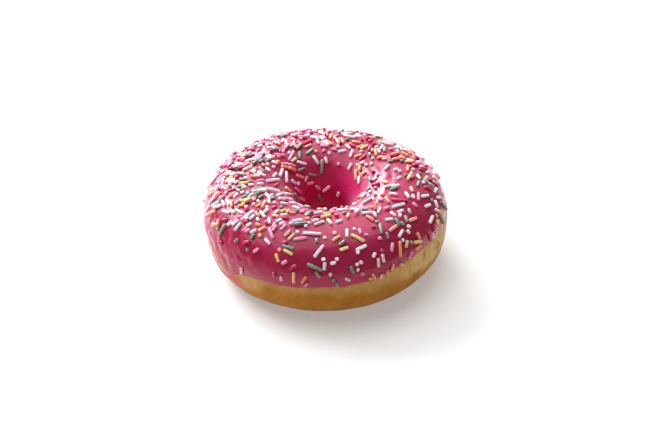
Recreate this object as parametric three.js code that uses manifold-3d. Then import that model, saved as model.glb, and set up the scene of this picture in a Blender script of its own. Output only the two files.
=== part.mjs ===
// A sprinkle frosted doughnut: a fried yeast ring, the set icing over its upper half, and the sugar
// strands stuck in the icing. Millimetres, +Z up. The origin is under the middle of the whole, on the
// surface that the doughnut rests on.
import * as THREE from "three";
import { mergeVertices } from "three/addons/utils/BufferGeometryUtils.js";
import Module from "manifold-3d";

// Driving dimensions of the bare ring
const OUTER_RADIUS = 45.0;
const CREST_RADIUS = 27.3;
const HOLE_RADIUS = 11.6;
const BELT_HEIGHT = 17.3;
const CREST_HEIGHT = 32.2;
const FOOT_SINK = 0.5;
const DOME_POWER = 2.3;
const FOOT_POWER = 2.5;
const FOOT_SWELL = 0.8;

// Where the ring's own axis stands, so that the uneven whole is centred on the origin
const RING_AXIS_X = 0.6;
const RING_AXIS_Y = 0.5;

// Driving dimensions of the icing
const ICING_GAP = 0.7;
const ICING_EDGE = 0.35;
const ICING_THICKNESS = 1.0;

// Driving dimensions of the sugar strands
const STRAND_RADIUS = 0.6;
const STRAND_SUNK = 0.45;
const LONGEST_STRAND = 5.8;
const SHORTEST_STRAND = 3.6;
const STRAND_COUNT = 176;
const STRAND_CLEAR = 1.5;
const STRAND_SIDES = 6;
const SEED = 20260;

// Grid steps: columns run round the ring, rows run round its section
const COLUMNS = 48;
const DOUGH_ROWS = 24;
const ICING_STEPS = 12;

const DEGREE = Math.PI / 180;
const FULL_TURN = 2 * Math.PI;
const wasm = await Module();
wasm.setup();

// How far one side of the risen ring swells past a true circle or an even height, in millimetres
const outerSwell = (azimuth) => 0.41 * Math.sin(2 * azimuth) + 0.33 * Math.cos(3 * azimuth - 0.59);
const holeSwell = (azimuth) => 0.5 * Math.cos(2 * azimuth + 0.8) + 0.25 * Math.sin(3 * azimuth);
const crestSwell = (azimuth) => 0.48 * Math.cos(azimuth - 2.52) + 0.4 * Math.cos(2 * azimuth - 0.18);

// A point of the ring's skin. The turn runs round the section: 0 faces outwards, 90 degrees up and
// 180 degrees into the hole. The lift is the distance outside the bare skin.
function skinPoint(azimuth, turn, lift = 0) {
  const across = Math.cos(turn);
  const up = Math.sin(turn);
  const outward = OUTER_RADIUS + outerSwell(azimuth) - CREST_RADIUS;
  const inward = CREST_RADIUS - HOLE_RADIUS + holeSwell(azimuth);
  const full = lift + FOOT_SWELL * THREE.MathUtils.smoothstep(-up, 0, 0.5);
  const halfWidth = (across >= 0 ? outward : inward) + full;
  const rise = CREST_HEIGHT - BELT_HEIGHT + crestSwell(azimuth) + lift;
  const halfHeight = up >= 0 ? rise : BELT_HEIGHT + FOOT_SINK + lift;
  const power = up >= 0 ? DOME_POWER : FOOT_POWER;
  const spread = Math.abs(across / halfWidth) ** power + Math.abs(up / halfHeight) ** power;
  const reach = spread ** (-1 / power);
  const radius = CREST_RADIUS + reach * across;
  const height = Math.max(0, BELT_HEIGHT + reach * up);
  return new THREE.Vector3(radius * Math.cos(azimuth), radius * Math.sin(azimuth), height);
}

// A torus grid bent into a ring: place(row, azimuth) gives each grid point its position.
function ringGeometry(rows, place) {
  const geometry = new THREE.TorusGeometry(CREST_RADIUS, BELT_HEIGHT, rows, COLUMNS);
  const position = geometry.getAttribute("position");
  for (let row = 0; row <= rows; row++) {
    for (let column = 0; column <= COLUMNS; column++) {
      const azimuth = ((column % COLUMNS) / COLUMNS) * FULL_TURN;
      const point = place(row % rows, azimuth);
      position.setXYZ(row * (COLUMNS + 1) + column, point.x, point.y, point.z);
    }
  }
  return geometry;
}

// The set icing ends in a wavy line: low on the -X side, where one tongue has run down, higher on the
// +X side, and deep in the hole.
function outerEdge(azimuth) {
  const tongue = Math.max(0, Math.cos(azimuth - 218 * DEGREE)) ** 50;
  const waves = 1.3 * Math.sin(5 * azimuth) + 1.1 * Math.sin(8 * azimuth + 1);
  return (3.5 + 12.5 * Math.cos(azimuth - 15 * DEGREE) + waves - 13 * tongue) * DEGREE;
}
const holeEdge = (azimuth) => (198 + 4 * Math.sin(2 * azimuth + 2) + 3 * Math.sin(5 * azimuth)) * DEGREE;

// The lift of the icing's upper face: thin at both edges and full from a tenth of the way in.
function icingLift(share) {
  const inFromEdge = Math.min(1, Math.min(share, 1 - share) / 0.1);
  return ICING_GAP + THREE.MathUtils.lerp(ICING_EDGE, ICING_THICKNESS, inFromEdge);
}

function icingPoint(azimuth, share) {
  const turn = THREE.MathUtils.lerp(outerEdge(azimuth), holeEdge(azimuth), share);
  return skinPoint(azimuth, turn, icingLift(share));
}

// The icing is a closed shell: its rows run over the top to the hole, then back underneath.
function placeIcing(row, azimuth) {
  if (row <= ICING_STEPS) return icingPoint(azimuth, row / ICING_STEPS);
  const share = (2 * ICING_STEPS + 1 - row) / ICING_STEPS;
  const turn = THREE.MathUtils.lerp(outerEdge(azimuth), holeEdge(azimuth), share);
  return skinPoint(azimuth, turn, ICING_GAP);
}

function toSolid(geometry) {
  const bare = geometry.clone();
  bare.deleteAttribute("normal");
  bare.deleteAttribute("uv");
  const merged = mergeVertices(bare);
  return new wasm.Manifold(
    new wasm.Mesh({
      numProp: 3,
      vertProperties: merged.getAttribute("position").array,
      triVerts: new Uint32Array(merged.index.array),
    }),
  );
}

function toGeometry(solid) {
  const mesh = solid.getMesh();
  const geometry = new THREE.BufferGeometry();
  geometry.setAttribute("position", new THREE.BufferAttribute(mesh.vertProperties, mesh.numProp));
  geometry.setIndex(new THREE.BufferAttribute(mesh.triVerts, 1));
  geometry.computeVertexNormals();
  return geometry;
}

// Seeded draws between 0 and 1
let drawState = SEED;
function draw() {
  drawState = (Math.imul(1664525, drawState) + 1013904223) >>> 0;
  return drawState / 2 ** 32;
}

// How thickly the strands lie, from 0 to 1: most on top and towards the back on the -X side, few in the
// hole, and hardly any on a bare patch low on the front of the -X side.
function strandDensity(azimuth, turn) {
  const facing = 0.5 + 0.5 * Math.cos(azimuth - 150 * DEGREE);
  const high = Math.max(0, Math.sin(turn));
  const inHole = THREE.MathUtils.smoothstep(turn / DEGREE, 105, 145);
  const patchAround = Math.max(0, Math.cos(azimuth - 228 * DEGREE)) ** 6;
  const patch = patchAround * (1 - THREE.MathUtils.smoothstep(turn / DEGREE, 35, 60));
  const onTop = 0.3 + 0.7 * high * (0.4 + 0.6 * facing);
  return onTop * (1 - 0.9 * inHole) * (1 - 0.9 * patch);
}

// One strand lies on the icing at a share of the way over it, with its heading turned in the surface.
function strandFrame(azimuth, share, heading) {
  const step = 0.01;
  const along = icingPoint(azimuth + step, share).sub(icingPoint(azimuth - step, share)).normalize();
  const across = icingPoint(azimuth, share + step).sub(icingPoint(azimuth, share - step)).normalize();
  const normal = along.clone().cross(across).normalize();
  const axis = along.clone().applyAxisAngle(normal, heading);
  const middle = icingPoint(azimuth, share).addScaledVector(normal, STRAND_RADIUS - STRAND_SUNK);
  return { middle, axis, normal };
}

// Points along the middle line of a strand, close enough together to tell whether two strands touch
function strandPoints({ middle, axis }, length) {
  const points = [];
  for (let tenth = -5; tenth <= 5; tenth++) {
    points.push(middle.clone().addScaledVector(axis, (tenth * length) / 10));
  }
  return points;
}

// The largest strands, spread evenly over the icing by steps of the plastic number, thinned by the
// density and kept clear of one another. The longest come first.
function layStrands() {
  const strands = [];
  const taken = [];
  const stepAround = 0.7548776662466927;
  const stepAcross = 0.5698402909980532;
  for (let index = 1; strands.length < STRAND_COUNT; index++) {
    const azimuth = ((index * stepAround) % 1) * FULL_TURN;
    const share = 0.08 + 0.72 * ((index * stepAcross) % 1);
    const turn = THREE.MathUtils.lerp(outerEdge(azimuth), holeEdge(azimuth), share);
    const skin = skinPoint(azimuth, turn);
    const room = Math.hypot(skin.x, skin.y) / OUTER_RADIUS;
    const keep = draw();
    const heading = draw() * Math.PI;
    if (keep > strandDensity(azimuth, turn) * room) continue;
    const length = THREE.MathUtils.lerp(LONGEST_STRAND, SHORTEST_STRAND, strands.length / STRAND_COUNT);
    const frame = strandFrame(azimuth, share, heading);
    const points = strandPoints(frame, length);
    if (points.some((point) => taken.some((other) => point.distanceTo(other) < STRAND_CLEAR))) continue;
    taken.push(...points);
    const strand = new THREE.CylinderGeometry(STRAND_RADIUS, STRAND_RADIUS, length, STRAND_SIDES);
    const sideways = frame.axis.clone().cross(frame.normal);
    const matrix = new THREE.Matrix4().makeBasis(sideways, frame.axis, frame.normal);
    strands.push(strand.applyMatrix4(matrix.setPosition(frame.middle)));
  }
  return strands;
}

const dough = new THREE.Mesh(
  ringGeometry(DOUGH_ROWS, (row, azimuth) => skinPoint(azimuth, (row / DOUGH_ROWS) * FULL_TURN)),
  new THREE.MeshStandardMaterial({ color: 0xb8843f, roughness: 0.6, metalness: 0 }),
);
dough.name = "dough";

let icedSolid = toSolid(ringGeometry(2 * ICING_STEPS + 2, placeIcing));
for (const strand of layStrands()) icedSolid = icedSolid.add(toSolid(strand));
const icing = new THREE.Mesh(
  toGeometry(icedSolid),
  new THREE.MeshStandardMaterial({ color: 0xb52a52, roughness: 0.3, metalness: 0 }),
);
icing.name = "icing_with_sprinkles";

const doughnut = new THREE.Group();
for (const piece of [dough, icing]) {
  piece.geometry.translate(RING_AXIS_X, RING_AXIS_Y, 0);
  doughnut.add(piece);
}

export default doughnut;
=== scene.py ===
import math

import bmesh
import bpy
import numpy as np
from mathutils import Matrix, Vector, noise
from mathutils.bvhtree import BVHTree


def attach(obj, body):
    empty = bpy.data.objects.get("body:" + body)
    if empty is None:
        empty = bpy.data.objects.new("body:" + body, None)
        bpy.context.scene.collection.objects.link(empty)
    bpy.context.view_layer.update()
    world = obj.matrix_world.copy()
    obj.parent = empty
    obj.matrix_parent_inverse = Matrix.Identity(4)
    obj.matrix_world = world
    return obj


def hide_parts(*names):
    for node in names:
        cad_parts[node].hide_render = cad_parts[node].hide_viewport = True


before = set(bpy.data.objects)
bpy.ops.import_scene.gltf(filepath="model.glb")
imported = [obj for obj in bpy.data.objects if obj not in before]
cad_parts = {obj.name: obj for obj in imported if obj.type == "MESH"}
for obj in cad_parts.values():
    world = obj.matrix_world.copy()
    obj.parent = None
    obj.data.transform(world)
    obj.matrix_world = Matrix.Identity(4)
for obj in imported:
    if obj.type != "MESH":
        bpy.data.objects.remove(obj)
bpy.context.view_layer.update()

# ------------------------------------------------------------------------------
# The camera stands in front of the doughnut and looks down on it at the angle of someone at the table.
# A fairly long lens keeps the ring from spreading towards the front.
CAMERA_HEIGHT_ANGLE = math.radians(34.4)
CAMERA_DISTANCE = 0.55
CAMERA_TARGET = Vector((0.0024, 0.0005, 0.0147))
CAMERA_LENS = 79.86
CAMERA_FILM = 36.0

camera_data = bpy.data.cameras.new("camera")
camera_data.lens = CAMERA_LENS
camera_data.sensor_width = CAMERA_FILM
camera = bpy.data.objects.new("camera", camera_data)
bpy.context.scene.collection.objects.link(camera)
towards_camera = Vector((0.0, -math.cos(CAMERA_HEIGHT_ANGLE), math.sin(CAMERA_HEIGHT_ANGLE)))
camera.location = CAMERA_TARGET + CAMERA_DISTANCE * towards_camera
camera.rotation_euler = (math.pi / 2 - CAMERA_HEIGHT_ANGLE, 0.0, 0.0)
bpy.context.scene.camera = camera

# ------------------------------------------------------------------------------
# The ring of yeast dough, proved and then fried on one side after the other. Its two browned halves
# meet in a pale band that floated above the oil, and it is never quite round or quite level.
MM = 0.001
FULL_TURN = 2 * math.pi
OUTER_RADIUS = 45.0
CREST_RADIUS = 27.3
HOLE_RADIUS = 11.6
BELT_HEIGHT = 17.3
CREST_HEIGHT = 32.2
FOOT_SINK = 0.5
DOME_POWER = 2.3
FOOT_POWER = 2.5
FOOT_SWELL = 0.8
RING_AXIS = Vector((0.6, 0.5, 0.0))

DOUGH_FULLNESS = 0.4
DOUGH_AROUND = 300
DOUGH_SECTION = 150

# Millimetres to the radian, round the ring and round its section
AROUND = 40
SECTION = 17

# Sides of the ring in degrees: the middle, and the reach to both sides
WIDE_BELT_SIDE = (350, 52)
PALE_FLOW_SIDE = (222, 24)
LOW_ICING_SIDE = (296, 32)
SMEARED_SIDE = (216, 18)


def lerp(a, b, t):
    """The value at a share t of the way from a to b."""
    return a + (b - a) * t


def smoothstep(x, low, high):
    """A soft step from 0 where x is low to 1 where it is high."""
    t = min(1.0, max(0.0, (x - low) / (high - low)))
    return t * t * (3 - 2 * t)


def between(x, low, low_full, high_full, high):
    """A soft mask that is 1 from low_full to high_full, and 0 below low and above high."""
    return smoothstep(x, low, low_full) * (1 - smoothstep(x, high_full, high))


def outer_swell(azimuth):
    """How far the ring swells past a true circle outside, less its two flatter sides."""
    flat_sides = 0.5 * max(0.0, -math.cos(azimuth)) ** 2 + 0.5 * max(0.0, math.cos(azimuth - 0.75)) ** 6
    return 0.41 * math.sin(2 * azimuth) + 0.33 * math.cos(3 * azimuth - 0.59) - flat_sides


def hole_swell(azimuth):
    """How far the hole's wall swells past a true circle."""
    return 0.5 * math.cos(2 * azimuth + 0.8) + 0.25 * math.sin(3 * azimuth)


def crest_swell(azimuth):
    """How far the crest rises past an even height."""
    return 0.48 * math.cos(azimuth - 2.52) + 0.4 * math.cos(2 * azimuth - 0.18)


def skin_point(azimuth, turn, lift=0.0):
    """A point of the ring's skin in millimetres. The turn runs round the section: 0 faces outwards,
    a quarter turn up and a half turn into the hole. The lift is the distance outside the bare skin."""
    across, up = math.cos(turn), math.sin(turn)
    outward = OUTER_RADIUS + outer_swell(azimuth) - CREST_RADIUS
    inward = CREST_RADIUS - HOLE_RADIUS + hole_swell(azimuth)
    full = lift + FOOT_SWELL * smoothstep(-up, 0, 0.5)
    half_width = (outward if across >= 0 else inward) + full
    rise = CREST_HEIGHT - BELT_HEIGHT + crest_swell(azimuth) + lift
    half_height = rise if up >= 0 else BELT_HEIGHT + FOOT_SINK + lift
    power = DOME_POWER if up >= 0 else FOOT_POWER
    reach = (abs(across / half_width) ** power + abs(up / half_height) ** power) ** (-1 / power)
    radius = CREST_RADIUS + reach * across
    height = max(0.0, BELT_HEIGHT + reach * up)
    flat = Vector((radius * math.cos(azimuth), radius * math.sin(azimuth), height))
    return flat + RING_AXIS


def spun_ring(section, around):
    """A circle of the ring's section, spun into a whole ring. Its faces are put in one order, which
    merging leaves to chance."""
    def order(face):
        azimuth, turn = ring_angles(face.calc_center_median())
        down = round(turn / FULL_TURN * 2 * section) % (2 * section)
        return round(azimuth / FULL_TURN * 2 * around) * 2 * section + down

    ring = bmesh.new()
    upright = Matrix.Translation((CREST_RADIUS, 0, BELT_HEIGHT)) @ Matrix.Rotation(math.pi / 2, 4, "X")
    bmesh.ops.create_circle(ring, segments=section, radius=BELT_HEIGHT - FOOT_SINK, matrix=upright)
    bmesh.ops.spin(
        ring, geom=ring.verts[:] + ring.edges[:], cent=(0, 0, 0), axis=(0, 0, 1),
        angle=FULL_TURN, steps=around, use_merge=True,
    )
    bmesh.ops.remove_doubles(ring, verts=ring.verts, dist=0.001)
    bmesh.ops.recalc_face_normals(ring, faces=ring.faces)
    ring.faces.sort(key=order)
    return ring


def ring_angles(point):
    """The azimuth and the turn of a point of the spun ring."""
    azimuth = math.atan2(point.y, point.x) % FULL_TURN
    turn = math.atan2(point.z - BELT_HEIGHT, math.hypot(point.x, point.y) - CREST_RADIUS)
    return azimuth, turn % FULL_TURN


def finished_piece(name, work, material):
    """The bmesh, drawn in millimetres, as a smooth object in metres."""
    bmesh.ops.scale(work, vec=(MM, MM, MM), verts=work.verts)
    mesh = bpy.data.meshes.new(name)
    work.to_mesh(mesh)
    work.free()
    mesh.shade_smooth()
    mesh.materials.append(material)
    piece = bpy.data.objects.new(name, mesh)
    bpy.context.scene.collection.objects.link(piece)
    return piece


def crust_relief(point):
    """Soft lumps of the proved dough and the fine wrinkles that frying leaves, in millimetres."""
    lumps = 0.3 * noise.noise(point / 12)
    dimples = 0.16 * noise.noise(point / 4.5 + Vector((7, 3, 1)))
    wrinkles = 0.06 * noise.noise(Vector((point.x / 1.6, point.y / 1.6, point.z / 3)))
    return lumps + dimples + wrinkles


def new_material(name):
    """A material with its nodes, its links and its one Principled shader."""
    material = bpy.data.materials.new(name)
    material.use_nodes = True
    nodes = material.node_tree.nodes
    nodes.clear()
    output = nodes.new("ShaderNodeOutputMaterial")
    shader = nodes.new("ShaderNodeBsdfPrincipled")
    material.node_tree.links.new(shader.outputs["BSDF"], output.inputs["Surface"])
    return material, nodes, material.node_tree.links, shader


def set_plain(shader, values):
    """Values that are the same all over, on the shader's own sockets."""
    for name, value in values.items():
        shader.inputs[name].default_value = value


def ramp(nodes, links, source, stops):
    """A colour ramp through stops of position and linear colour."""
    node = nodes.new("ShaderNodeValToRGB")
    while len(node.color_ramp.elements) < len(stops):
        node.color_ramp.elements.new(0.5)
    for element, (place, colour) in zip(node.color_ramp.elements, stops):
        element.position = place
        element.color = (*colour, 1)
    links.new(source, node.inputs["Fac"])
    return node.outputs["Color"]


def feed(links, value, socket):
    """Feed a socket with another socket, with a number or with a linear colour."""
    if isinstance(value, tuple):
        socket.default_value = (*value, 1)
    elif isinstance(value, (int, float)):
        socket.default_value = value
    else:
        links.new(value, socket)


def blend(nodes, links, factor, first, second, mode="MIX"):
    """One colour laid over another, or multiplied by it, by a mask."""
    node = nodes.new("ShaderNodeMix")
    node.data_type = "RGBA"
    node.blend_type = mode
    for name, value in (("Factor", factor), ("A", first), ("B", second)):
        feed(links, value, node.inputs[name])
    return node.outputs["Result"]


def spread(nodes, links, source, low, high, to_low=0.0, to_high=1.0):
    """A smooth mask that rises while the source goes from low to high."""
    node = nodes.new("ShaderNodeMapRange")
    node.interpolation_type = "SMOOTHSTEP"
    node.inputs["From Min"].default_value = low
    node.inputs["From Max"].default_value = high
    node.inputs["To Min"].default_value = to_low
    node.inputs["To Max"].default_value = to_high
    links.new(source, node.inputs["Value"])
    return node.outputs["Result"]


def combine(nodes, links, operation, first, second):
    """Arithmetic on two values, each a number or a socket."""
    node = nodes.new("ShaderNodeMath")
    node.operation = operation
    feed(links, first, node.inputs[0])
    feed(links, second, node.inputs[1])
    return node.outputs["Value"]


def cloudy(nodes, links, scale, detail=3.0, stretch=(1, 1, 1), offset=(0, 0, 0)):
    """Noise on the piece's own coordinates, with a scale in blotches to the metre."""
    place = nodes.new("ShaderNodeTexCoord").outputs["Object"]
    mapping = nodes.new("ShaderNodeMapping")
    mapping.inputs["Scale"].default_value = stretch
    mapping.inputs["Location"].default_value = offset
    links.new(place, mapping.inputs["Vector"])
    node = nodes.new("ShaderNodeTexNoise")
    node.inputs["Scale"].default_value = scale
    node.inputs["Detail"].default_value = detail
    links.new(mapping.outputs["Vector"], node.inputs["Vector"])
    return node.outputs["Fac"]


def painted(nodes, name):
    """The mask that the mesh carries under a name."""
    node = nodes.new("ShaderNodeAttribute")
    node.attribute_name = name
    return node.outputs["Fac"]


def own_place(nodes, links):
    """The piece's own three coordinates, in metres."""
    node = nodes.new("ShaderNodeSeparateXYZ")
    links.new(nodes.new("ShaderNodeTexCoord").outputs["Object"], node.inputs["Vector"])
    return node.outputs["X"], node.outputs["Y"], node.outputs["Z"]


def raised(nodes, links, height, distance, strength, normal=None):
    """A normal roughened by a height, full at the distance in metres."""
    node = nodes.new("ShaderNodeBump")
    node.inputs["Distance"].default_value = distance
    node.inputs["Strength"].default_value = strength
    links.new(height, node.inputs["Height"])
    if normal is not None:
        links.new(normal, node.inputs["Normal"])
    return node.outputs["Normal"]


def near_azimuth(azimuth, middle, reach):
    """A mask of 1 at an azimuth that fades out over a reach on both sides, all in degrees."""
    apart = abs((math.degrees(azimuth) - middle + 180) % 360 - 180)
    return 1 - smoothstep(apart, 0.5 * reach, reach)


def degrees_up(turn):
    """The turn in degrees, less than 0 below the belt."""
    return math.degrees(turn if turn < math.pi else turn - FULL_TURN)


def paleness(azimuth, turn):
    """How little the crust browned: a belt just under the icing that stayed clear of the fat, wide and
    blotchy on the +X side and again where the icing flowed."""
    place = skin_point(azimuth, turn)
    blotch = noise.noise(Vector((place.x / 4, place.y / 4, place.z / 5.5 + 4)))
    fine = noise.noise(Vector((place.x / 1.4, place.y / 1.4, place.z / 2.4)))
    height = degrees_up(turn) + 5 * blotch + 2 * fine
    wide_side = near_azimuth(azimuth, *WIDE_BELT_SIDE)
    flowed_side = near_azimuth(azimuth, *PALE_FLOW_SIDE)
    low_side = near_azimuth(azimuth, *LOW_ICING_SIDE)
    bottom = -6.5 - 8 * wide_side - 16 * flowed_side - 4.5 * low_side
    strength = 0.44 + 0.52 * wide_side + 0.2 * flowed_side
    mottled = 1 + wide_side * (0.7 * blotch + 0.6 * fine) + 0.3 * fine
    return strength * smoothstep(height, bottom - 9, bottom + 7) * mottled


def smeared(azimuth, turn):
    """Where a little icing was wiped down the crust, below the side on which it flowed."""
    height = degrees_up(turn)
    streak = noise.noise(Vector((azimuth * AROUND / 1.6, height / 9, 2)))
    band = between(height, -40, -31, -19, -8)
    return near_azimuth(azimuth, *SMEARED_SIDE) * band * min(1.0, max(0.0, 0.75 + 0.9 * streak))


DOUGH_GOLD = (0.50, 0.205, 0.016)
DOUGH_BROWN = (0.37, 0.130, 0.009)
DOUGH_FOOT_SHADE = (0.27, 0.088, 0.007)
DOUGH_PALE = (0.70, 0.46, 0.17)
DOUGH_SMEARED = (0.58, 0.10, 0.10)
FRECKLE_DARK = (0.94, 0.91, 0.88)
FRECKLE_LIGHT = (1.04, 1.04, 1.04)

crust, nodes, links, shader = new_material("fried_crust")
blotches = cloudy(nodes, links, 110, 3, stretch=(1, 1, 0.4))
freckles = cloudy(nodes, links, 620, 4, stretch=(1, 1, 0.6), offset=(3, 1, 2))
browned = ramp(nodes, links, blotches, [(0.34, DOUGH_GOLD), (0.66, DOUGH_BROWN)])
# The crust is darkened towards the floor: painted shade where the ring sits on the board.
foot_height = combine(nodes, links, "ADD", own_place(nodes, links)[2],
                      combine(nodes, links, "MULTIPLY", blotches, 0.006))
foot_shade = spread(nodes, links, foot_height, 0.010, 0.003)
fried = blend(nodes, links, foot_shade, browned, DOUGH_FOOT_SHADE)
fried = blend(nodes, links, painted(nodes, "paleness"), fried, DOUGH_PALE)
speckled = ramp(nodes, links, freckles, [(0.36, FRECKLE_DARK), (0.64, FRECKLE_LIGHT)])
fried = blend(nodes, links, 1.0, fried, speckled, "MULTIPLY")
links.new(
    blend(nodes, links, painted(nodes, "smear"), fried, DOUGH_SMEARED), shader.inputs["Base Color"]
)
links.new(spread(nodes, links, blotches, 0.3, 0.7, 0.52, 0.66), shader.inputs["Roughness"])
set_plain(shader, {"Specular IOR Level": 0.15})
pores = cloudy(nodes, links, 1500, 3)
links.new(
    raised(nodes, links, pores, 0.00012, 0.6, raised(nodes, links, freckles, 0.0003, 0.5)),
    shader.inputs["Normal"],
)

ring = spun_ring(DOUGH_SECTION, DOUGH_AROUND)
pale_layer = ring.verts.layers.float.new("paleness")
smear_layer = ring.verts.layers.float.new("smear")
for vertex in ring.verts:
    azimuth, turn = ring_angles(vertex.co)
    bare = skin_point(azimuth, turn)
    under_icing = smoothstep(math.sin(turn), -0.42, -0.05)
    vertex.co = skin_point(azimuth, turn, DOUGH_FULLNESS * under_icing + crust_relief(bare))
    vertex[pale_layer] = paleness(azimuth, turn)
    vertex[smear_layer] = smeared(azimuth, turn)
fried_ring = finished_piece("fried_ring", ring, crust)
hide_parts("dough")
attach(fried_ring, "root")

# ------------------------------------------------------------------------------
# The sugar icing, coloured raspberry pink. The warm ring was dipped upside down in it and turned
# over, so it set in a thin glossy coat that ends in a wavy line and has run down on one side.
ICING_LIFT = 1.35
ICING_EDGE_LIFT = 0.3
ICING_AROUND = 340
ICING_SECTION = 168
ICING_UPPER_SHARE = 0.82
EDGE_CROWDING = 0.85
EDGE_ROUNDING = 5.5
EDGE_UNRIPPLED = 4
HOLE_AROUND = 16
TONGUE_AZIMUTH = math.radians(218)
RAGGED_SIDE = (335, 55)
LUMPS_AND_SHADE_SIDE = (219, 27)
RUNS_SIDE = (214, 34)


def outer_edge(azimuth):
    """The turn at which the icing ends outside: low where a tongue ran down, ragged where it is high
    up on the +X side."""
    tongue = max(0.0, math.cos(azimuth - TONGUE_AZIMUTH)) ** 50
    waves = 1.3 * math.sin(5 * azimuth) + 1.1 * math.sin(8 * azimuth + 1)
    around = Vector((math.cos(azimuth), math.sin(azimuth), 0)) * OUTER_RADIUS
    ragged = 1.2 + 1.8 * near_azimuth(azimuth, *RAGGED_SIDE)
    waves += ragged * (noise.noise(around / 3.6) + 0.5 * noise.noise(around / 1.4))
    waves -= 4.5 * near_azimuth(azimuth, *LOW_ICING_SIDE)
    return math.radians(3.5 + 12.5 * math.cos(azimuth - math.radians(15)) + waves - 13 * tongue)


def hole_edge(azimuth):
    """The turn at which the icing ends in the hole."""
    return math.radians(201 + 4 * math.sin(2 * azimuth + 2) + 3 * math.sin(5 * azimuth))


def icing_turn(azimuth, share):
    """The turn at a share of the way over the icing, from its outer edge to its edge in the hole."""
    return lerp(outer_edge(azimuth), hole_edge(azimuth), share)


def icing_lumps_and_shade(azimuth, turn):
    """Where the icing collected in thick lumps as it ran down, from 0 to 1. The same mask paints the lumps a
    darker crimson, as painted shade.
    """
    around, down = azimuth * AROUND, turn * SECTION
    lumps = noise.noise(Vector((around / 2.9 + down / 7, down / 4.6, 21)))
    lumps += 0.4 * noise.noise(Vector((around / 1.3, down / 1.8, 23)))
    side = near_azimuth(azimuth, *LUMPS_AND_SHADE_SIDE) * smoothstep(math.degrees(turn), 4, 14)
    return side * (1 - smoothstep(math.degrees(turn), 40, 56)) * smoothstep(lumps, 0.06, 0.34)


def icing_relief(azimuth, turn):
    """Slow waves of the poured coat, runs on the side where it flowed, and ripples beside the hole."""
    place = skin_point(azimuth, turn)
    waves = 0.22 * noise.noise(place / 8 + Vector((2, 5, 3)))
    around, down = azimuth * AROUND, turn * SECTION
    flowed = near_azimuth(azimuth, *RUNS_SIDE) * (1 - smoothstep(math.degrees(turn), 32, 52))
    runs = 0.4 * noise.noise(Vector((around / 3.1 + down / 6, down / 3.8, 4)))
    runs = flowed * (runs + 0.24 * noise.noise(Vector((around / 1.6, down / 1.8, 8))))
    rim = max(0.0, math.cos(azimuth - math.radians(350))) ** 4
    rim *= between(math.degrees(turn), 85, 100, 125, 145)
    ripples = 0.55 * rim * noise.noise(Vector((azimuth * HOLE_AROUND / 5, down / 1.9, 9)))
    return waves + runs + ripples + 0.3 * icing_lumps_and_shade(azimuth, turn)


def icing_point(azimuth, share):
    """A point of the icing's upper face, at a share of the way from its outer edge to the hole."""
    turn = icing_turn(azimuth, share)
    from_edge = min(share, 1 - share) * (hole_edge(azimuth) - outer_edge(azimuth)) * SECTION
    rounded = math.sin(math.pi / 2 * min(1.0, max(0.0, from_edge / EDGE_ROUNDING)))
    lift = lerp(ICING_EDGE_LIFT, ICING_LIFT, rounded)
    rippled = smoothstep(from_edge, 0, EDGE_UNRIPPLED)
    return skin_point(azimuth, turn, lift + rippled * icing_relief(azimuth, turn))


def icing_thinness(azimuth, turn):
    """How thin the icing ran, along its edge and on the side where it flowed, so that the crust
    shows through."""
    side = math.degrees(azimuth)
    around = between(side, 200, 212, 228, 244)
    fade = 1 - smoothstep(math.degrees(turn) + 0.35 * (side - 215), -4, 14)
    streak = noise.noise(Vector((azimuth * AROUND / 2.3, turn * SECTION / 3.4, 6)))
    film = 1 - smoothstep(math.degrees(turn - outer_edge(azimuth)) - 3 * streak, 0.5, 5.5)
    return max(around * fade * min(1.0, 0.65 + 0.9 * streak), 0.65 * film)


ICING_DEEP = (0.375, 0.012, 0.047)
ICING_PINK = (0.445, 0.020, 0.086)
ICING_THIN = (0.52, 0.13, 0.075)
# A lighter red for the icing deep in the hole: painted light that lifts the shade there.
ICING_HOLE_LIGHT = (0.57, 0.020, 0.125)
# Painted shade on the icing's lumps on the flowed side.
ICING_LUMP_SHADE = (0.43, 0.009, 0.060)
ICING_SHINE = (1.0, 0.66, 0.78)
ICING_BLOOM = (1.0, 0.82, 0.96)

glaze, nodes, links, shader = new_material("pink_icing")
clouds = cloudy(nodes, links, 70, 2)
pink = ramp(nodes, links, clouds, [(0.32, ICING_DEEP), (0.68, ICING_PINK)])
streaks = cloudy(nodes, links, 210, 3, stretch=(1, 1, 0.35))
worn = combine(nodes, links, "MULTIPLY", painted(nodes, "thinness"),
               spread(nodes, links, streaks, 0.25, 0.7, 0.55, 1.0))
# Deeper in the hole the icing is painted a lighter red: painted light.
coated = blend(nodes, links, painted(nodes, "hole_light"), pink, ICING_HOLE_LIGHT)
coated = blend(nodes, links, worn, coated, ICING_THIN)
# Lumps on the flowed side are painted a darker crimson: painted shade, besides the relief they get in the
# mesh.
coated = blend(nodes, links, painted(nodes, "lump_shade"), coated, ICING_LUMP_SHADE)
links.new(coated, shader.inputs["Base Color"])
dull = combine(nodes, links, "MULTIPLY", worn, 0.4)
gloss = spread(nodes, links, clouds, 0.3, 0.7, 0.24, 0.34)
links.new(combine(nodes, links, "ADD", gloss, dull), shader.inputs["Roughness"])
links.new(spread(nodes, links, worn, 0.0, 0.5, 0.16, 0.0), shader.inputs["Coat Weight"])
set_plain(shader, {
    "Specular IOR Level": 0.32, "Specular Tint": (*ICING_SHINE, 1), "Coat Roughness": 0.09,
    "Subsurface Weight": 0.35, "Subsurface Radius": (1.0, 0.15, 0.35), "Subsurface Scale": 0.0015,
    "Sheen Weight": 0.6, "Sheen Tint": (*ICING_BLOOM, 1), "Sheen Roughness": 0.3,
})
pitted = cloudy(nodes, links, 420, 3)
links.new(raised(nodes, links, pitted, 0.00025, 0.5), shader.inputs["Normal"])

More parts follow.
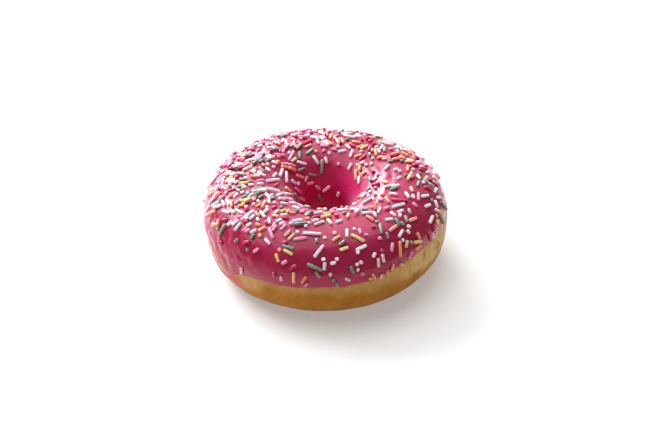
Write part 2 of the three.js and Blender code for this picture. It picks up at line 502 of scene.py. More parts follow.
coat = spun_ring(ICING_SECTION, ICING_AROUND)
thinness = coat.verts.layers.float.new("thinness")
hole_light_layer = coat.verts.layers.float.new("hole_light")
lump_shade_layer = coat.verts.layers.float.new("lump_shade")
for vertex in coat.verts:
    azimuth, turn = ring_angles(vertex.co)
    step = turn / FULL_TURN
    on_top = step <= ICING_UPPER_SHARE
    if on_top:
        share = step / ICING_UPPER_SHARE
        share = 0.5 - 0.5 * math.copysign(abs(1 - 2 * share) ** EDGE_CROWDING, 1 - 2 * share)
    else:
        share = (1 - step) / (1 - ICING_UPPER_SHARE)
    turn = icing_turn(azimuth, share)
    vertex.co = icing_point(azimuth, share) if on_top else skin_point(azimuth, turn)
    vertex[thinness] = icing_thinness(azimuth, turn)
    # The mask of painted light in the hole.
    vertex[hole_light_layer] = smoothstep(math.degrees(turn), 118, 158)
    vertex[lump_shade_layer] = icing_lumps_and_shade(azimuth, turn)
bmesh.ops.recalc_face_normals(coat, faces=coat.faces)
iced_surface = BVHTree.FromBMesh(coat)
icing = finished_piece("icing", coat, glaze)
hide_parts("icing_with_sprinkles")
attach(icing, "root")

# ------------------------------------------------------------------------------
# The sugar strands, short pressed rods of coloured sugar paste that were shaken over the wet icing.
# They stick where they fell, thickest on one side, some across others and all a little sunk.
STRAND_RADIUS = 0.6
STRAND_SUNK = 0.34
LONGEST_SEEN = 6.9
SHORTEST_SEEN = 1.3
CROWDED = 1.05
SEED = 20260
IMAGE_WIDTH = 660
IMAGE_HEIGHT = 440

# Strands on the side that faces the camera, marked in enlarged windows of its frame. A window is given by
# its left edge, its top edge and its enlargement, and a strand by its two ends in it.
MARKED_STRANDS = {
    (195, 205, 11.615): {
        "white": [
            (640, 325, 715, 290), (812, 390, 872, 455), (1250, 322, 1465, 336), (1180, 312, 1200, 318),
            (1495, 380, 1520, 380), (1495, 465, 1385, 605), (1470, 640, 1515, 622), (1510, 665, 1500, 758),
            (1000, 835, 1000, 880), (540, 735, 540, 800), (1280, 244, 1300, 244), (1385, 230, 1500, 188),
            (1310, 215, 1330, 205), (375, 235, 430, 190), (430, 235, 500, 175), (600, 240, 660, 215),
            (720, 150, 740, 185), (860, 150, 865, 215), (800, 90, 850, 45), (920, 100, 970, 60),
            (940, 190, 1010, 165)],
        "green": [
            (345, 220, 280, 350), (690, 340, 645, 395), (462, 428, 500, 398), (608, 510, 612, 530),
            (1015, 470, 1150, 510), (1412, 388, 1416, 435), (1305, 685, 1475, 762), (1400, 775, 1455, 842),
            (1145, 222, 1305, 205)],
        "orange": [
            (272, 165, 262, 285), (820, 260, 740, 295), (1105, 300, 1045, 360), (1160, 335, 1080, 405),
            (975, 510, 990, 530), (1290, 832, 1240, 905), (245, 215, 200, 240), (700, 85, 750, 130),
            (895, 120, 975, 135)],
        "crimson": [
            (1015, 437, 1075, 430), (915, 780, 920, 840), (1090, 750, 1180, 695), (1370, 180, 1460, 178),
            (320, 165, 370, 175), (560, 190, 620, 195), (1010, 145, 1090, 155), (560, 430, 640, 425),
            (265, 430, 320, 435)],
        "pink": [
            (862, 265, 908, 385), (905, 300, 945, 235), (680, 550, 735, 508), (1005, 682, 1070, 650),
            (1145, 402, 1300, 380), (1270, 945, 1312, 905), (1000, 290, 1060, 225)],
        "yellow": [
            (755, 335, 755, 370), (1030, 520, 1135, 575), (940, 565, 972, 662), (1145, 785, 1145, 905)],
    },
    (330, 205, 12.06): {
        "white": [
            (70, 212, 150, 182), (385, 98, 515, 90), (608, 30, 578, 95), (528, 85, 553, 135),
            (730, 85, 790, 132), (820, 92, 885, 60), (665, 178, 765, 170), (880, 300, 830, 385),
            (928, 300, 962, 345), (930, 250, 975, 268), (205, 290, 208, 385), (290, 288, 300, 292),
            (45, 335, 65, 335), (315, 545, 440, 485), (330, 580, 345, 560), (870, 405, 890, 440),
            (548, 575, 518, 632), (632, 590, 652, 692), (582, 640, 588, 750), (355, 678, 395, 705),
            (312, 722, 345, 712), (345, 760, 330, 800), (70, 655, 100, 650), (5, 708, 72, 692),
            (185, 888, 245, 912), (628, 835, 610, 888), (850, 715, 870, 718), (0, 830, 10, 850),
            (1240, 130, 1205, 215), (1270, 50, 1320, 85), (1238, 350, 1252, 400)],
        "green": [
            (150, 98, 205, 92), (948, 45, 975, 110), (790, 160, 840, 245), (908, 130, 930, 205),
            (602, 225, 625, 340), (548, 212, 590, 198), (682, 330, 705, 410), (852, 205, 888, 245),
            (182, 428, 112, 485), (985, 430, 978, 470), (250, 738, 285, 822), (78, 935, 88, 985),
            (40, 900, 50, 912), (1340, 140, 1370, 222)],
        "orange": [
            (440, 130, 530, 188), (808, 245, 718, 310), (955, 190, 1045, 155), (120, 372, 35, 430),
            (845, 432, 850, 630), (1050, 330, 1085, 412), (1035, 535, 1095, 480), (512, 832, 545, 890),
            (692, 790, 688, 840), (770, 715, 740, 792), (1275, 110, 1300, 145)],
        "crimson": [
            (500, 265, 560, 265), (1255, 235, 1255, 320), (1205, 335, 1215, 430), (630, 540, 625, 560)],
        "pink": [
            (352, 285, 375, 350), (432, 358, 446, 360), (592, 398, 615, 402), (755, 455, 745, 560),
            (992, 560, 948, 650), (385, 828, 402, 832)],
        "yellow": [
            (222, 105, 215, 150), (255, 355, 415, 437), (120, 542, 222, 510), (935, 425, 915, 512),
            (1022, 452, 1105, 436), (480, 885, 500, 888), (1302, 175, 1292, 235), (1325, 60, 1340, 110)],
    },
    (265, 125, 22.4): {
        "white": [
            (890, 245, 1010, 228), (1240, 258, 1312, 332), (1160, 340, 1212, 420), (710, 820, 925, 882),
            (392, 980, 342, 1145), (482, 1040, 485, 1290), (252, 1080, 180, 1160), (40, 1252, 330, 1218),
            (590, 1230, 690, 1320), (1082, 690, 1202, 872), (1350, 715, 1392, 862), (740, 390, 765, 392),
            (60, 692, 140, 680), (20, 960, 110, 1030), (180, 390, 240, 360), (540, 600, 545, 650),
            (30, 860, 90, 900), (180, 930, 210, 940), (1440, 620, 1445, 640), (780, 300, 830, 300)],
        "green": [
            (165, 542, 330, 540), (1080, 240, 1190, 280), (600, 430, 592, 505), (1085, 535, 930, 652),
            (772, 590, 780, 745), (748, 1022, 895, 968), (980, 1100, 1152, 1142), (1282, 770, 1275, 1092),
            (0, 812, 80, 800)],
        "orange": [
            (310, 405, 335, 440), (590, 305, 690, 345), (1040, 440, 890, 500), (1110, 585, 1180, 602),
            (360, 930, 530, 950), (530, 950, 695, 1022), (700, 1120, 862, 1190), (940, 1322, 1085, 1290),
            (160, 812, 240, 825)],
        "crimson": [
            (650, 270, 865, 208), (1060, 340, 860, 415), (845, 430, 700, 520), (120, 440, 20, 500),
            (100, 560, 0, 600), (1400, 150, 1470, 165)],
        "pink": [
            (645, 590, 540, 785), (370, 878, 530, 870), (530, 875, 690, 935), (952, 1150, 890, 1272),
            (1352, 540, 1290, 605), (430, 550, 388, 632), (500, 465, 440, 530), (300, 712, 330, 715)],
        "yellow": [(1490, 210, 1450, 300), (700, 740, 590, 825), (260, 812, 330, 822)],
    },
    (335, 125, 22.4): {
        "white": [
            (190, 228, 450, 282), (250, 442, 342, 532), (70, 602, 250, 568), (400, 560, 332, 722),
            (910, 492, 1012, 622), (1002, 360, 980, 402), (1112, 410, 1300, 452), (560, 862, 670, 820),
            (480, 912, 540, 882), (540, 1150, 530, 1322), (372, 860, 300, 1002), (820, 752, 872, 738),
            (800, 902, 832, 840), (1212, 890, 1112, 1002), (1310, 1012, 1412, 980), (1392, 1202, 1482, 1162),
            (640, 230, 690, 235), (1380, 570, 1420, 590), (30, 470, 110, 490), (960, 480, 900, 500),
            (680, 890, 720, 890), (820, 1240, 940, 1180), (960, 1080, 900, 1160)],
        "green": [
            (232, 332, 320, 308), (770, 622, 782, 690), (1110, 490, 1112, 600), (1172, 812, 1300, 808),
            (1460, 802, 1560, 812), (980, 440, 1060, 430), (760, 1170, 800, 1260)],
        "orange": [
            (380, 372, 590, 402), (500, 512, 650, 452), (440, 722, 612, 660), (842, 540, 832, 595),
            (740, 272, 910, 300), (940, 732, 1230, 708), (1262, 660, 1450, 622), (1450, 690, 1560, 752),
            (470, 1000, 466, 1240)],
        "crimson": [
            (540, 782, 690, 668), (842, 1042, 870, 1045), (540, 330, 640, 345), (760, 370, 830, 330)],
        "pink": [(40, 250, 80, 220), (1220, 540, 1300, 520), (550, 600, 640, 590)],
        "yellow": [
            (180, 182, 400, 198), (142, 300, 180, 402), (580, 532, 730, 460), (552, 910, 550, 1022),
            (592, 1112, 680, 1042)],
    },
    (390, 150, 22.4): {
        "white": [
            (612, 550, 672, 650), (740, 712, 765, 740), (342, 940, 432, 1072), (502, 1000, 542, 1082),
            (712, 1042, 860, 1010), (1012, 1130, 1062, 1292), (1062, 1062, 1122, 1058),
            (1172, 920, 1202, 1022), (50, 1282, 332, 1202), (52, 802, 222, 798), (0, 968, 172, 1002),
            (792, 1262, 902, 1222), (180, 480, 260, 470), (500, 430, 540, 440), (660, 370, 740, 380),
            (600, 270, 680, 270), (820, 500, 870, 500), (950, 590, 1050, 660), (1040, 860, 1010, 940)],
        "green": [
            (620, 502, 722, 532), (652, 702, 622, 812), (762, 652, 870, 740), (870, 740, 990, 832),
            (922, 1092, 960, 1162), (1152, 1150, 1272, 1330), (0, 884, 172, 850), (312, 572, 382, 558)],
        "orange": [(372, 352, 480, 382), (392, 390, 400, 470), (400, 60, 500, 100), (500, 150, 570, 190)],
        "crimson": [
            (40, 1110, 400, 1142), (640, 430, 760, 462), (480, 640, 560, 570), (770, 830, 900, 850),
            (780, 340, 850, 390), (880, 650, 960, 690)],
        "pink": [(642, 960, 640, 1132), (512, 1182, 602, 1272)],
        "yellow": [(350, 250, 500, 262), (492, 500, 402, 660), (780, 642, 842, 602), (462, 832, 512, 932)],
    },
    (195, 125, 22.4): {
        "white": [
            (1340, 800, 1402, 690), (1080, 1012, 1282, 920), (1322, 1112, 1452, 1150),
            (1090, 1180, 1182, 1200), (740, 1322, 902, 1250), (500, 1312, 682, 1160), (960, 900, 1020, 870),
            (820, 930, 900, 900), (1120, 830, 1250, 770), (1200, 620, 1260, 610), (1380, 420, 1400, 440),
            (1440, 640, 1500, 620)],
        "green": [
            (1440, 832, 1560, 760), (930, 1082, 1142, 1122), (1000, 1212, 1102, 1232),
            (520, 1040, 610, 985)],
        "orange": [
            (722, 870, 850, 792), (930, 772, 1120, 745), (1060, 920, 1232, 850), (1222, 1062, 1372, 960),
            (690, 1130, 852, 1070)],
        "crimson": [
            (905, 705, 1005, 652), (1190, 702, 1340, 652), (860, 1200, 980, 1150), (1400, 590, 1480, 530),
            (1480, 430, 1560, 400)],
        "pink": [(540, 1182, 800, 1030), (1230, 530, 1300, 520)],
        "yellow": [(700, 1232, 862, 1160)],
    },
    (200, 172, 22.4): {
        "white": [
            (1082, 292, 1200, 288), (542, 402, 642, 340), (552, 490, 620, 440), (292, 562, 422, 440),
            (492, 640, 550, 760), (592, 602, 650, 742), (762, 712, 932, 590), (1002, 790, 1062, 762),
            (1172, 612, 1252, 602), (1152, 442, 1532, 350), (1002, 990, 1222, 860), (1112, 1062, 1222, 960),
            (802, 842, 962, 932), (282, 1152, 332, 1182), (132, 882, 212, 762), (902, 480, 1000, 440),
            (1280, 640, 1340, 680), (1000, 1060, 1090, 1020)],
        "green": [
            (842, 330, 900, 345), (930, 370, 1000, 392), (430, 650, 492, 610), (1162, 400, 1392, 330),
            (1312, 592, 1422, 522)],
        "orange": [
            (130, 1010, 320, 830), (642, 572, 812, 440), (162, 542, 302, 440), (842, 802, 902, 740),
            (1132, 600, 1262, 532), (1382, 802, 1472, 650), (1252, 790, 1372, 712),
            (1252, 1162, 1352, 1200)],
        "crimson": [
            (602, 440, 802, 372), (1272, 862, 1372, 842), (332, 622, 482, 470), (1010, 420, 1100, 430),
            (1170, 650, 1240, 640), (1000, 860, 1080, 790), (840, 1020, 980, 1000)],
        "pink": [(432, 380, 542, 180)],
        "yellow": [(902, 252, 1092, 240), (922, 762, 992, 690), (982, 662, 1132, 600)],
    },
    (250, 172, 22.4): {
        "white": [
            (422, 362, 672, 440), (602, 522, 762, 470), (782, 482, 972, 520), (602, 572, 992, 620),
            (522, 672, 582, 702), (402, 602, 442, 702), (682, 692, 852, 722), (872, 682, 1062, 722),
            (962, 772, 1122, 830), (682, 962, 842, 960), (662, 1182, 772, 1120), (1392, 1092, 1542, 1070),
            (1242, 962, 1332, 910), (942, 1102, 1182, 1070), (882, 1152, 962, 1150), (462, 530, 520, 500),
            (350, 800, 420, 780), (60, 750, 100, 700), (1072, 222, 1092, 300)],
        "green": [
            (1002, 480, 1100, 650), (490, 560, 552, 602), (1232, 772, 1312, 770), (982, 862, 1102, 870),
            (682, 802, 742, 770)],
        "orange": [(892, 912, 1032, 920)],
        "crimson": [
            (742, 642, 862, 620), (1402, 1022, 1562, 990), (500, 820, 590, 760), (560, 310, 640, 260)],
        "pink": [
            (1012, 350, 1142, 470), (1470, 312, 1568, 390), (1122, 582, 1222, 632), (1062, 722, 1202, 790),
            (502, 1252, 562, 1140), (1132, 902, 1232, 850)],
        "yellow": [(792, 342, 922, 432), (692, 892, 802, 840), (822, 902, 882, 850)],
    },
    (290, 195, 22.4): {
        "white": [
            (492, 412, 732, 380), (652, 322, 800, 292), (842, 542, 932, 650), (1042, 352, 1302, 320),
            (1342, 312, 1562, 320), (1402, 222, 1502, 200), (1452, 392, 1532, 340)],
        "green": [(430, 382, 520, 370)],
        "orange": [(752, 432, 1002, 380), (1520, 150, 1545, 160), (352, 542, 432, 510)],
        "crimson": [(1000, 440, 1090, 470)],
        "yellow": [(702, 492, 922, 450)],
    },
    (275, 125, 9.0): {
        "white": [(430, 600, 495, 550), (560, 645, 575, 605)],
        "green": [(388, 620, 418, 680)],
        "pink": [(570, 343, 574, 362)],
    },
    (365, 130, 9.0): {
        "crimson": [(492, 340, 560, 352)],
    },
    (345, 178, 22.4): {
        "white": [
            (372, 442, 462, 330), (392, 562, 592, 450), (882, 202, 1042, 170), (1232, 802, 1242, 870),
            (500, 420, 560, 390), (640, 380, 700, 340), (520, 330, 600, 290)],
        "green": [(312, 462, 402, 340), (482, 282, 572, 210), (382, 682, 512, 710)],
        "orange": [(792, 372, 872, 380), (902, 432, 992, 550)],
        "crimson": [(592, 172, 762, 100), (650, 700, 700, 710)],
        "pink": [(742, 462, 852, 510), (882, 692, 1012, 652), (640, 230, 720, 200)],
        "yellow": [(862, 62, 952, 120), (562, 652, 702, 640)],
    },
}

draw_state = SEED


def draw():
    """Seeded draws between 0 and 1"""
    global draw_state
    draw_state = (1664525 * draw_state + 1013904223) & 0xFFFFFFFF
    return draw_state / 2 ** 32


def sight_line(x, y):
    """The direction from the camera through a point of its frame"""
    film = CAMERA_FILM / IMAGE_WIDTH
    through = Vector(((x - IMAGE_WIDTH / 2) * film, (IMAGE_HEIGHT / 2 - y) * film, -CAMERA_LENS))
    return (camera.rotation_euler.to_matrix() @ through).normalized()


def lying(middle, axis, length, raised_by):
    """The middle, the axis, the outward normal and the sag of a strand that lies on the icing."""
    middle, normal = iced_surface.find_nearest(middle)[:2]
    axis = (axis - normal * axis.dot(normal)).normalized()
    first = iced_surface.find_nearest(middle - axis * length / 2)[0]
    last = iced_surface.find_nearest(middle + axis * length / 2)[0]
    axis = (last - first).normalized()
    normal = (normal - axis * normal.dot(axis)).normalized()
    sag = max(-0.3, min(0.5, 0.5 * normal.dot(middle - (first + last) / 2)))
    return middle + normal * raised_by, axis, normal, sag


def strand_spots(placed, length, step=2):
    """Points along a strand, at every so many tenths of its length."""
    middle, axis = placed[:2]
    return [middle + axis * (tenth * length / 10) for tenth in range(-5, 6, step)]


def room_to(spots, others):
    """The least distance from one group of spots to another."""
    if not len(others):
        return math.inf
    return float(np.linalg.norm(others[None] - np.array(spots)[:, None], axis=2).min())


class Sprinkling:
    """All strands laid so far, by colour, and the spots that they cover."""

    def __init__(self):
        self.laid = {}
        self.spots = np.zeros((0, 3))
        self.middles = []
        self.axes = []

    def neighbour_axis(self, middle):
        """The way in which the nearest strand lies."""
        apart = np.linalg.norm(np.array(self.middles) - np.array(middle), axis=1)
        return self.axes[int(apart.argmin())]

    def lay(self, colour, middle, axis, length, deep, towards_eye=Vector()):
        """Lay one strand. Where it comes to lie on others, it is raised towards the eye."""
        raised_by = STRAND_RADIUS - STRAND_SUNK + deep
        placed = lying(middle + towards_eye * raised_by, axis, length, raised_by)
        room = room_to(strand_spots(placed, length), self.spots)
        if room < CROWDED:
            raised_by += 0.75 * (CROWDED - room)
            placed = lying(middle + towards_eye * raised_by, axis, length, raised_by)
        self.spots = np.vstack((self.spots, strand_spots(placed, length)))
        self.middles.append(placed[0])
        self.axes.append(placed[1])
        self.laid.setdefault(colour, []).append((placed, length, draw()))


camera_place = camera.location / MM
sprinkling = Sprinkling()
for (left, top, enlargement), colours in MARKED_STRANDS.items():
    for colour, strands in colours.items():
        for x1, y1, x2, y2 in strands:
            first = Vector((left + x1 / enlargement, top + y1 / enlargement))
            last = Vector((left + x2 / enlargement, top + y2 / enlargement))
            centre = (first + last) / 2
            middle, normal = iced_surface.ray_cast(camera_place, sight_line(*centre))[:2]
            ends = []
            for end in (first, last):
                ray = sight_line(*end)
                ends.append(camera_place + ray * normal.dot(middle - camera_place) / normal.dot(ray))
            axis = ends[1] - ends[0]
            length = min(LONGEST_SEEN, max(SHORTEST_SEEN, axis.length))
            ray = sight_line(*centre)
            deep = 0.2 * draw() - 0.3 * (1 - smoothstep(-normal.dot(ray), 0.15, 0.45))
            sprinkling.lay(colour, middle, axis, length, deep, ray / min(-0.35, normal.dot(ray)))

# The rest follow the rule by which the strands were shaken on: first the longest, where the camera
# doesn't look, and then the small ones all over, which lie as their neighbours do
RULE_STRANDS = 176
LONGEST_STRAND = 5.8
SHORTEST_STRAND = 3.6
LONG_CLEARANCE = 1.5
SMALL_CANDIDATES = 6000
SMALL_CLEARANCE = 0.75
HIDDEN_FROM_CAMERA = 0.03
STEP_AROUND = 0.7548776662466927
STEP_ACROSS = 0.5698402909980532
ALL_SHARES = {"white": 0.42, "green": 0.16, "orange": 0.14, "crimson": 0.11, "pink": 0.09, "yellow": 0.08}
SMALL_SHARES = {"white": 0.46, "pink": 0.21, "crimson": 0.13, "orange": 0.10, "green": 0.06, "yellow": 0.04}


def drawn_colour(shares):
    """A colour, drawn by the share that each has."""
    level = draw()
    for colour, share in shares.items():
        level -= share
        if level < 0:
            return colour
    return "white"


def rule_spot(azimuth, share):
    """The place, the outward normal and two directions on the icing at a share of the way over it."""
    step = 0.01
    place = icing_point(azimuth, share)
    along = (icing_point(azimuth + step, share) - place).normalized()
    across = (icing_point(azimuth, share + step) - place).normalized()
    return place, along.cross(across).normalized(), along, across


def candidate(index, start_around, start_across, least_share, share_reach):
    """One of the evenly spread places: its azimuth, share, turn and distance from the ring's axis."""
    azimuth = (start_around + index * STEP_AROUND) % 1 * FULL_TURN
    share = least_share + share_reach * ((start_across + index * STEP_ACROSS) % 1)
    turn = icing_turn(azimuth, share)
    skin = skin_point(azimuth, turn) - RING_AXIS
    return azimuth, share, turn, math.hypot(skin.x, skin.y)


def strand_density(azimuth, turn):
    """How thickly the strands fell, from 0 to 1: most on top and behind on the -X side, few in the
    hole and hardly any on a patch low on the front of the -X side."""
    facing = 0.5 + 0.5 * math.cos(azimuth - math.radians(150))
    high = max(0.0, math.sin(turn))
    in_hole = smoothstep(math.degrees(turn), 105, 145)
    patch_around = max(0.0, math.cos(azimuth - math.radians(228))) ** 6
    patch = patch_around * (1 - smoothstep(math.degrees(turn), 35, 60))
    on_top = 0.3 + 0.7 * high * (0.4 + 0.6 * facing)
    return on_top * (1 - 0.9 * in_hole) * (1 - 0.9 * patch)


draw_state = SEED
index = laid = 0
long_spots = np.zeros((0, 3))
hidden_strands = []
while laid < RULE_STRANDS:
    index += 1
    azimuth, share, turn, from_axis = candidate(index, 0.0, 0.0, 0.08, 0.72)
    keep, heading = draw(), draw() * math.pi
    if keep > strand_density(azimuth, turn) * from_axis / OUTER_RADIUS:
        continue
    length = lerp(LONGEST_STRAND, SHORTEST_STRAND, laid / RULE_STRANDS)
    place, normal, along, across = rule_spot(azimuth, share)
    axis = Matrix.Rotation(heading, 3, normal) @ along
    spots = strand_spots((place, axis), length, 1)
    if room_to(spots, long_spots) < LONG_CLEARANCE:
        continue
    laid += 1
    long_spots = np.vstack((long_spots, spots))
    if normal.dot(towards_camera) < HIDDEN_FROM_CAMERA:
        hidden_strands.append((place, axis, length))

for place, axis, length in hidden_strands:
    sprinkling.lay(drawn_colour(ALL_SHARES), place, axis, length, 0.1)


def small_density(azimuth, turn, seen):
    """The share of the small candidates that stay: close together on the -X side and behind it."""
    if not seen:
        return 0.5 * strand_density(azimuth, turn) * smoothstep(math.degrees(turn), 2, 24)
    high = between(math.degrees(turn), 30, 48, 92, 118)
    thick = max(0.0, math.cos(azimuth - math.radians(166))) ** 2
    behind = max(0.0, math.cos(azimuth - math.radians(75))) ** 2
    return high * (0.95 * thick + 0.45 * behind)


for index in range(SMALL_CANDIDATES):
    azimuth, share, turn, from_axis = candidate(index, 0.37, 0.61, 0.04, 0.78)
    keep, heading, stretch = draw() * OUTER_RADIUS / from_axis, draw(), draw()
    if keep > max(small_density(azimuth, turn, False), small_density(azimuth, turn, True)):
        continue
    place, normal, along, across = rule_spot(azimuth, share)
    seen = normal.dot(towards_camera) > HIDDEN_FROM_CAMERA
    if keep > small_density(azimuth, turn, seen):
        continue
    if seen:
        length = 1.7 + 2.5 * stretch
        axis = Matrix.Rotation(0.8 * (heading - 0.5), 3, normal) @ sprinkling.neighbour_axis(place)
    else:
        length = 1.3 + 2.4 * stretch ** 1.6
        axis = along * math.cos(heading * math.pi) + across * math.sin(heading * math.pi)
    if room_to(strand_spots((place, axis), length), sprinkling.spots) > SMALL_CLEARANCE:
        sprinkling.lay(drawn_colour(SMALL_SHARES), place, axis, length, 0.2 * draw())

# The model rod with rounded ends that every strand is made from
STRAND_SIDES = 8
STRAND_END = 0.32
MODEL_STRAND = 4.0

rod = bmesh.new()
bmesh.ops.create_cone(
    rod, cap_ends=True, segments=STRAND_SIDES, radius1=STRAND_RADIUS, radius2=STRAND_RADIUS,
    depth=MODEL_STRAND,
)
rims = [edge for edge in rod.edges if abs(edge.verts[0].co.z - edge.verts[1].co.z) < 0.01]
bmesh.ops.bevel(
    rod, geom=rims, offset=STRAND_END, segments=2, profile=0.5, affect="EDGES", material=-1,
)
bmesh.ops.bisect_plane(
    rod, geom=rod.verts[:] + rod.edges[:] + rod.faces[:], plane_co=(0, 0, 0), plane_no=(0, 0, 1),
)
model_strand = bpy.data.meshes.new("model_strand")
rod.to_mesh(model_strand)
rod.free()

# Each colour's tint, a lighter tint for its paler rods, and a darker, redder tint painted on those low down
# outside as painted shade
STRAND_COLOURS = {
    "white": ((0.96, 0.70, 0.75), (0.98, 0.82, 0.86), (0.44, 0.08, 0.0)),
    "green": ((0.17, 0.24, 0.17), (0.36, 0.42, 0.33), (0.06, 0.08, 0.03)),
    "orange": ((0.87, 0.31, 0.15), (0.95, 0.50, 0.36), (0.60, 0.13, 0.0)),
    "crimson": ((0.48, 0.014, 0.08), (0.68, 0.065, 0.20), (0.38, 0.01, 0.03)),
    "pink": ((0.80, 0.22, 0.40), (0.92, 0.43, 0.58), (0.50, 0.06, 0.10)),
    "yellow": ((0.85, 0.52, 0.15), (0.93, 0.70, 0.34), (0.64, 0.27, 0.0)),
}
# In metres, the height and the distance from the middle at which the painted shade starts, and is full
LOW_SHADE_FROM = (0.029, 0.033)
LOW_SHADE_FULL = (0.020, 0.038)


def sugar_grain_and_shade_group():
    """The faint graininess of pressed sugar and the painted shade, darker and redder, on the rods low on the
    ring outside: two masks and a roughened normal."""
    group = bpy.data.node_groups.new("sugar_grain_and_shade", "ShaderNodeTree")
    for name, side, kind in (
        ("Tone", "INPUT", "Float"), ("Mask", "OUTPUT", "Float"), ("LowShade", "OUTPUT", "Float"),
        ("Normal", "OUTPUT", "Vector"),
    ):
        group.interface.new_socket(name, in_out=side, socket_type=f"NodeSocket{kind}")
    inside, wires = group.nodes, group.links
    given = inside.new("NodeGroupInput")
    result = inside.new("NodeGroupOutput")
    grain = cloudy(inside, wires, 2600, 2)
    patchy = cloudy(inside, wires, 500, 2)
    mask = combine(inside, wires, "ADD", combine(inside, wires, "MULTIPLY", given.outputs["Tone"], 0.7),
                   combine(inside, wires, "MULTIPLY", patchy, 0.3))
    wires.new(mask, result.inputs["Mask"])
    x, y, z = own_place(inside, wires)
    radius_squared = combine(
        inside, wires, "ADD", combine(inside, wires, "MULTIPLY", x, x),
        combine(inside, wires, "MULTIPLY", y, y),
    )
    outside = spread(inside, wires, radius_squared, LOW_SHADE_FROM[1] ** 2, LOW_SHADE_FULL[1] ** 2)
    low = spread(inside, wires, z, LOW_SHADE_FROM[0], LOW_SHADE_FULL[0], 0.0, 0.5)
    wires.new(combine(inside, wires, "MULTIPLY", low, outside), result.inputs["LowShade"])
    wires.new(raised(inside, wires, grain, 0.00006, 0.5), result.inputs["Normal"])
    return group


sugar_grain_and_shade = sugar_grain_and_shade_group()
for colour, strands in sprinkling.laid.items():
    deep_tint, light_tint, low_shade_tint = STRAND_COLOURS[colour]
    sugar, nodes, links, shader = new_material(f"{colour}_sugar")
    grain_and_shade = nodes.new("ShaderNodeGroup")
    grain_and_shade.node_tree = sugar_grain_and_shade
    links.new(painted(nodes, "tone"), grain_and_shade.inputs["Tone"])
    dry = blend(nodes, links, grain_and_shade.outputs["Mask"], deep_tint, light_tint)
    # Rods low down outside are painted darker and redder: painted shade.
    links.new(
        blend(nodes, links, grain_and_shade.outputs["LowShade"], dry, low_shade_tint), shader.inputs["Base Color"]
    )
    links.new(
        spread(nodes, links, grain_and_shade.outputs["Mask"], 0.0, 1.0, 0.22, 0.34), shader.inputs["Roughness"]
    )
    links.new(grain_and_shade.outputs["Normal"], shader.inputs["Normal"])
    set_plain(shader, {
        "Specular IOR Level": 0.55, "Subsurface Weight": 1.0, "Subsurface Radius": (1.0, 0.9, 0.9),
        "Subsurface Scale": 0.0011,
    })

    heap = bmesh.new()
    tone = heap.verts.layers.float.new("tone")
    for (middle, axis, normal, sag), length, shade in strands:
        first_new = len(heap.verts)
        heap.from_mesh(model_strand)
        heap.verts.ensure_lookup_table()
        sideways = axis.cross(normal)
        for vertex in heap.verts[first_new:]:
            x, y, z = vertex.co
            along = 0.0 if abs(z) < 0.01 else z + (length - MODEL_STRAND) / 2 * math.copysign(1, z)
            drop = sag * (2 * along / length) ** 2
            vertex.co = middle + sideways * x + normal * (y - drop) + axis * along
            vertex[tone] = shade
    bmesh.ops.recalc_face_normals(heap, faces=heap.faces)
    scattered = finished_piece(f"{colour}_strands", heap, sugar)
    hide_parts("icing_with_sprinkles")
    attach(scattered, "root")
bpy.data.meshes.remove(model_strand)

# ------------------------------------------------------------------------------
# The plain pale surface that the doughnut lies on, one sheet of matt white board. Its own soft glow stands
# in for light from below, and inside the ring that glow is painted the pink of the icing over it, as painted
# light bounced off the icing.
FLOOR_SIZE = 4.0
FLOOR_DROP = 0.0001
BOARD_WARM = (0.67, 0.655, 0.62)
BOARD_WHITE = (0.685, 0.67, 0.635)
BOARD_GLOW = 0.32
GLOW_OPEN = (1.0, 0.99, 0.98)
GLOW_UNDER_RING = (0.90, 0.12, 0.25)
PINK_GLOW_ENDS = (0.022, 0.036)

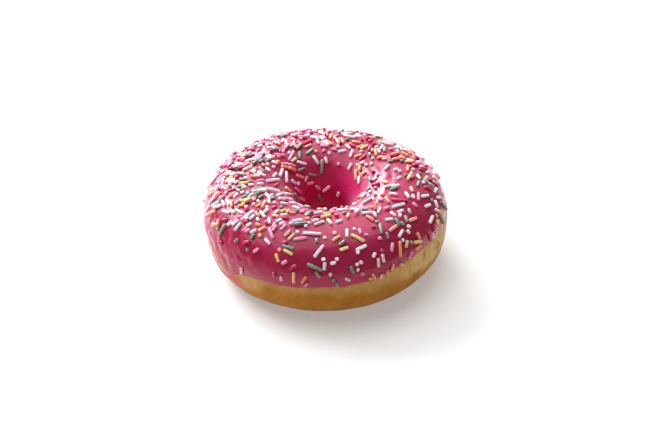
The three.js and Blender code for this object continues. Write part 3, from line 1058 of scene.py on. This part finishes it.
board, nodes, links, shader = new_material("pale_board")
tooth = cloudy(nodes, links, 40, 2)
links.new(
    ramp(nodes, links, tooth, [(0.3, BOARD_WARM), (0.7, BOARD_WHITE)]), shader.inputs["Base Color"]
)
links.new(spread(nodes, links, tooth, 0.3, 0.7, 0.75, 0.85), shader.inputs["Roughness"])
from_middle = nodes.new("ShaderNodeVectorMath")
from_middle.operation = "LENGTH"
links.new(nodes.new("ShaderNodeTexCoord").outputs["Object"], from_middle.inputs[0])
open_board = spread(nodes, links, from_middle.outputs["Value"], *PINK_GLOW_ENDS)
# Inside the ring the glow is painted pink: painted light bounced off the icing.
links.new(
    blend(nodes, links, open_board, GLOW_UNDER_RING, GLOW_OPEN), shader.inputs["Emission Color"]
)
set_plain(shader, {"Specular IOR Level": 0.2, "Emission Strength": BOARD_GLOW})
sheet_of_board = bmesh.new()
bmesh.ops.create_grid(sheet_of_board, x_segments=1, y_segments=1, size=FLOOR_SIZE / 2 / MM)
bmesh.ops.translate(sheet_of_board, verts=sheet_of_board.verts, vec=(0, 0, -FLOOR_DROP / MM))
floor = finished_piece("floor", sheet_of_board, board)

# ------------------------------------------------------------------------------
# The light of a small studio. A large sheet hangs over the doughnut from behind on the left, two windows
# there make the glare on the icing, two low panels stand behind it, and the white room fills evenly.
FILL_STRENGTH = 0.16
FILL_COLOUR = (1.0, 0.97, 0.94)
DAYLIGHT = (0.90, 0.93, 1.0)

# Each box's azimuth and height in degrees, its distance, width and depth in metres, and its watts
SOFT_BOXES = {
    "overhead_sheet": (129, 62, 1.5, 2.1, 1.9, 35.5),
    "left_window": (140, 38, 1.3, 0.65, 0.42, 13.0),
    "right_window": (109, 22, 1.3, 0.5, 0.46, 12.0),
    "back_panel": (85, 18, 1.4, 1.7, 0.9, 5.0),
    "rear_panel": (128, 8, 1.4, 1.3, 0.36, 4.6),
}

for name, (azimuth, height_angle, distance, width, depth, power) in SOFT_BOXES.items():
    azimuth, height_angle = math.radians(azimuth), math.radians(height_angle)
    lamp = bpy.data.lights.new(name, "AREA")
    lamp.shape = "RECTANGLE"
    lamp.size, lamp.size_y = width, depth
    lamp.energy = power
    lamp.color = DAYLIGHT
    holder = bpy.data.objects.new(name, lamp)
    direction = Vector((
        math.cos(height_angle) * math.cos(azimuth), math.cos(height_angle) * math.sin(azimuth),
        math.sin(height_angle),
    ))
    holder.location = direction * distance + Vector((0, 0, BELT_HEIGHT * MM))
    holder.rotation_euler = direction.to_track_quat("Z", "Y").to_euler()
    holder.visible_camera = False
    bpy.context.scene.collection.objects.link(holder)

room = bpy.data.worlds.new("white_room")
room.use_nodes = True
background = room.node_tree.nodes["Background"]
background.inputs["Color"].default_value = (*FILL_COLOUR, 1)
background.inputs["Strength"].default_value = FILL_STRENGTH
bpy.context.scene.world = room
bpy.context.scene.view_settings.view_transform = "Standard"
